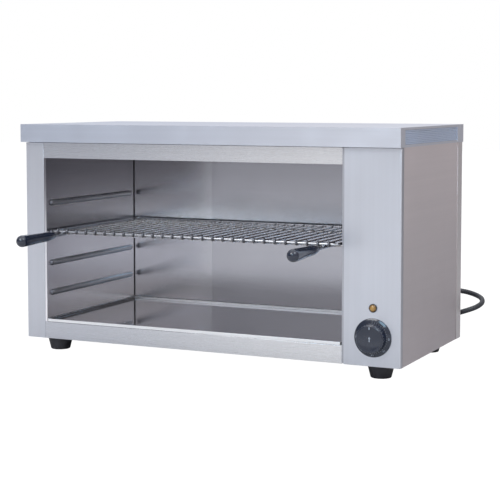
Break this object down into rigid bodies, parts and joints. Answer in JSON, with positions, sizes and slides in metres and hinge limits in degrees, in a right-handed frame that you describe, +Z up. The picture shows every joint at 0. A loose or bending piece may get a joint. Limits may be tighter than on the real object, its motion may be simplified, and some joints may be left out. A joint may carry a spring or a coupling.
{
  "type": "cheese melter",
  "caption": "Countertop open-front cheese melter: stainless cabinet, top heating elements, pull-out wire rack with two grips, drip tray, thermostat knob, indicator lamp and mains cord.",
  "frame": {"origin": "centre of the four feet's outline on the surface that the cabinet stands on", "axes": "+X to the right along the longest side, seen from the open front; +Y to the back; +Z up"},
  "size_m": [0.7235, 0.587, 0.4],
  "materials": {
    "stainless": "brushed satin stainless sheet",
    "bright_steel": "bright, nearly mirror-finished stainless sheet",
    "plain_steel": "plain galvanised or stainless sheet, dull",
    "vent_mesh": "perforated stainless sheet, satin",
    "rack_chrome": "bright chromed wire",
    "element_sheath": "oxidised alloy sheath, satin",
    "ceramic_wool": "soft white ceramic wool",
    "brass_fittings": "plain turned brass",
    "copper": "drawn copper, satin",
    "ceramic_body": "white ceramic-like insulator, matte",
    "wire_insulation": "glass-fibre sleeved wire, matte",
    "black_plastic": "glossy black phenolic plastic",
    "matte_black": "matte black plastic",
    "amber_lens": "clear amber lens",
    "cord_rubber": "smooth black rubber cord",
    "foot_rubber": "moulded black rubber, matte",
    "screw_steel": "plain zinc-plated or stainless screws"
  },
  "bodies": {
    "body": {"top_cover": "stainless", "vent_grille_left": "vent_mesh", "vent_grille_right": "vent_mesh", "left_side_panel": "stainless", "right_side_panel": "stainless", "rear_panel": "stainless", "base_pan": "plain_steel", "left_stile": "stainless", "header_rail": "stainless", "sill_rail": "stainless", "control_fascia": "stainless", "cavity_wall_left": "stainless", "cavity_wall_right": "stainless", "cavity_back": "stainless", "cavity_floor": "bright_steel", "floor_supports": "plain_steel", "reflector": "bright_steel", "insulation_blanket": "ceramic_wool", "heating_element_front": "element_sheath", "heating_element_middle": "element_sheath", "heating_element_rear": "element_sheath", "element_fittings": "brass_fittings", "element_hangers": "plain_steel", "thermostat_body": "ceramic_body", "dial_bezel": "black_plastic", "indicator_lens": "amber_lens", "indicator_body": "matte_black", "thermostat_bulb": "copper", "bulb_clips": "plain_steel", "capillary_tube": "copper", "terminal_block": "ceramic_body", "earth_stud": "brass_fittings", "internal_wiring": "wire_insulation", "cable_gland": "matte_black", "strain_relief": "cord_rubber", "inner_lead": "cord_rubber", "mains_cord": "cord_rubber", "cord_coil": "cord_rubber", "coil_tie": "matte_black", "mains_cord_end": "cord_rubber", "mains_plug": "cord_rubber", "plug_pins": "brass_fittings", "foot_front_left": "foot_rubber", "foot_front_right": "foot_rubber", "foot_rear_left": "foot_rubber", "foot_rear_right": "foot_rubber", "foot_screws": "screw_steel", "cover_screws": "screw_steel", "rear_screws": "screw_steel", "base_screws": "screw_steel", "thermostat_screws": "screw_steel"},
    "rack": {"rack_frame": "rack_chrome", "rack_wires": "rack_chrome", "handle_shanks": "rack_chrome", "left_grip": "black_plastic", "right_grip": "black_plastic"},
    "tray": {"drip_tray": "bright_steel"},
    "knob": {"control_knob": "black_plastic", "thermostat_spindle": "plain_steel"}
  },
  "joints": [
    {"name": "rack_slide", "type": "slide", "parent": "body", "child": "rack", "axis": [0, -1, 0], "range_m": [0, 0.28]},
    {"name": "tray_slide", "type": "slide", "parent": "body", "child": "tray", "axis": [0, -1, 0], "range_m": [0, 0.3]},
    {"name": "knob_turn", "type": "hinge", "parent": "body", "child": "knob", "pos_m": [0.302, -0.16, 0.069], "axis": [0, 1, 0], "range_deg": [0, 270]}
  ]
}
